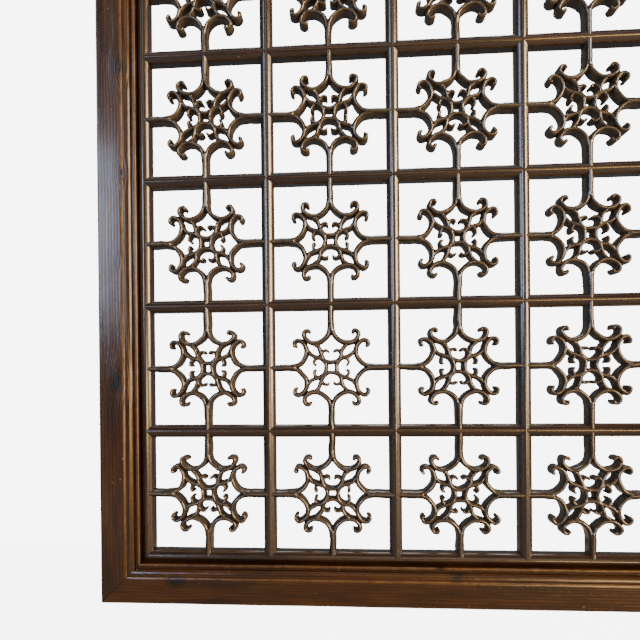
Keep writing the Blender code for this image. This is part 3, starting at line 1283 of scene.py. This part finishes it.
@dataclass
class Studio:
    """A pale floor and surround, bright to the camera alone, and soft lights."""

    floor_height: float
    floor_width: float = 2.6
    floor_depth: float = 1.2
    floor_back: float = 0.24
    surround: str = "#ffffff"
    floor_paint: str = "#a8a6a2"
    floor_roughness: float = 0.9
    floor_glow: float = 6.2
    seen_strength: float = 7.0
    light_strength: float = 0.12

    def build(self) -> None:
        """Build the floor, the world and the lights."""
        front = self.floor_back - self.floor_depth
        half = self.floor_width / 2
        sheet = bpy.data.meshes.new("floor")
        sheet.from_pydata(
            [(x, y, self.floor_height) for x, y in (
                (-half, front), (half, front), (half, self.floor_back), (-half, self.floor_back),
            )],
            [], [(0, 1, 2, 3)],
        )
        floor = bpy.data.objects.new("floor", sheet)
        bpy.context.scene.collection.objects.link(floor)
        paint = bpy.data.materials.new("pale_floor")
        paint.use_nodes = True
        shader = paint.node_tree.nodes["Principled BSDF"]
        shader.inputs["Base Color"].default_value = srgb(self.floor_paint)
        shader.inputs["Roughness"].default_value = self.floor_roughness
        shader.inputs["Emission Color"].default_value = srgb(self.surround)
        seen = add(paint.node_tree, "ShaderNodeLightPath").outputs["Is Camera Ray"]
        glow = add(paint.node_tree, MATH, (self.floor_glow, seen), operation="MULTIPLY")
        paint.node_tree.links.new(glow.outputs[0], shader.inputs["Emission Strength"])
        floor.data.materials.append(paint)
        floor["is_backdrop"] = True

        world = bpy.data.worlds.new("surround")
        bpy.context.scene.world = world
        world.use_nodes = True
        background = world.node_tree.nodes["Background"]
        background.inputs["Color"].default_value = srgb(self.surround)
        seen = add(world.node_tree, "ShaderNodeLightPath").outputs["Is Camera Ray"]
        more = self.seen_strength - self.light_strength
        strength = add(world.node_tree, MATH, (seen, more, self.light_strength),
                       operation="MULTIPLY_ADD")
        world.node_tree.links.new(strength.outputs[0], background.inputs["Strength"])

        middle = (0.0, 0.0, -0.38)
        self.light("window_left", (-1.55, -1.05, 0.12), middle, (0.4, 1.2), 20.0, "#c4daf8")
        self.light("window_right", (1.75, -0.8, -0.05), middle, (0.65, 1.2), 125.0, "#ffdcb0")
        low = (0.15, 0.0, -0.74)
        self.light("low_right", (0.85, -1.6, -0.64), low, (0.7, 0.26), 21.0, "#ffcf90")
        self.light("near_left", (-0.9, -1.5, -0.1), middle, (0.28, 0.5), 17.0, "#d2def6")
        self.light("front", (0.4, -2.3, 0.95), (-0.1, 0.0, -0.1), (1.4, 1.2), 12.0, "#ffe0b8")
        self.light("behind", (0.2, 1.4, 2.0), middle, (1.4, 1.0), 34.0, "#f4f0ea")
        self.light("overhead", (0.0, -0.3, 1.6), middle, (1.8, 0.8), 5.0, "#ffffff")

    @staticmethod
    def light(
        name: str,
        place: tuple[float, float, float],
        target: tuple[float, float, float],
        size: tuple[float, float],
        power: float,
        colour: str,
    ) -> None:
        """Add a rectangular soft light.

        Args:
            name: Its name.
            place: Where it stands.
            target: Where it points.
            size: Its width and height in metres.
            power: Its power in watts.
            colour: Its colour.
        """
        data = bpy.data.lights.new(name, "AREA")
        data.shape = "RECTANGLE"
        data.size, data.size_y = size
        data.energy = power
        data.color = srgb(colour)[:3]
        lamp = bpy.data.objects.new(name, data)
        lamp.location = place
        toward = Vector(target) - Vector(place)
        lamp.rotation_euler = toward.to_track_quat("-Z", "Y").to_euler()
        bpy.context.scene.collection.objects.link(lamp)


def main() -> None:
    """Build the panel's looks, the studio and the camera."""
    cad_box = [list(corner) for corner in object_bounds()]
    left_low, left_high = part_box("inner_strip_left")
    bottom_low, bottom_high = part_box("inner_strip_bottom")
    bar_low, bar_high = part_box("upright_bar_1")
    level_low, level_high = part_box("level_bar_1")
    left = (left_low[0] + left_high[0]) / 2
    bottom = (bottom_low[2] + bottom_high[2]) / 2
    cell_width = (bar_low[0] + bar_high[0]) / 2 - left
    cell_height = (level_low[2] + level_high[2]) / 2 - bottom
    half_bar = (bar_high[0] - bar_low[0]) / 2
    shoulder = bar_low[1] + CrownedBar().crown_rise

    mitres = Joints(left, bottom, cell_width, cell_height, COLUMNS, ROWS, half_bar)
    corners = Joints(left, bottom, cell_width * COLUMNS, cell_height * ROWS, 1, 1, CORNER_REACH)
    knots = {Grain.UPRIGHT: STILE_KNOTS, Grain.LEVEL: RAIL_KNOTS}
    frame_finish = {
        grain: StainedSoftwood(
            f"stained_softwood_frame_{grain.value}", grain, knots=knots[grain], mitres=corners,
            ring_relief=2.2 if grain is Grain.UPRIGHT else 0.4,
            rub_strength=1.0 if grain is Grain.UPRIGHT else 0.6,
            # Painted shade in the recesses: strong on the stiles, faint on the rails
            recess_shade_strength=0.4 if grain is Grain.UPRIGHT else 0.1
        ).build()
        for grain in Grain
    }
    lattice_finish = {
        grain: StainedSoftwood(
            f"stained_softwood_lattice_{grain.value}", grain, dark="#080301",
            body="#160b04" if grain is Grain.UPRIGHT else "#180c03",
            light="#2c1a0a" if grain is Grain.UPRIGHT else "#301b08",
            rubbed="#84603a", rub_strength=0.7, gloss_roughness=0.25,
            ring_relief=0.3, varnish=0.7, mitres=mitres, chatter=0.9
        ).build()
        for grain in Grain
    }
    fret_finish = StainedSoftwood(
        "stained_softwood_carved", Grain.UPRIGHT, dark="#080402", body="#19110a",
        light="#312618", rubbed="#766854", rub_strength=0.4, rub_from=0.3,
        ring_relief=0.3, gloss_roughness=0.26, varnish=0.7, bump_depth=0.4 * MM
    ).build()

    sweeper = Sweeper()
    bar = CrownedBar()
    OuterFrame(sweeper, frame_finish).build()
    InnerFrame(sweeper, bar, lattice_finish).build()
    BarGrid(sweeper, bar, lattice_finish).build()
    Fretwork(fret_finish).build()

    PhotoCamera().build(left, bottom, shoulder)
    Studio(cad_box[0][2]).build()


if __name__ == "__main__":
    main()
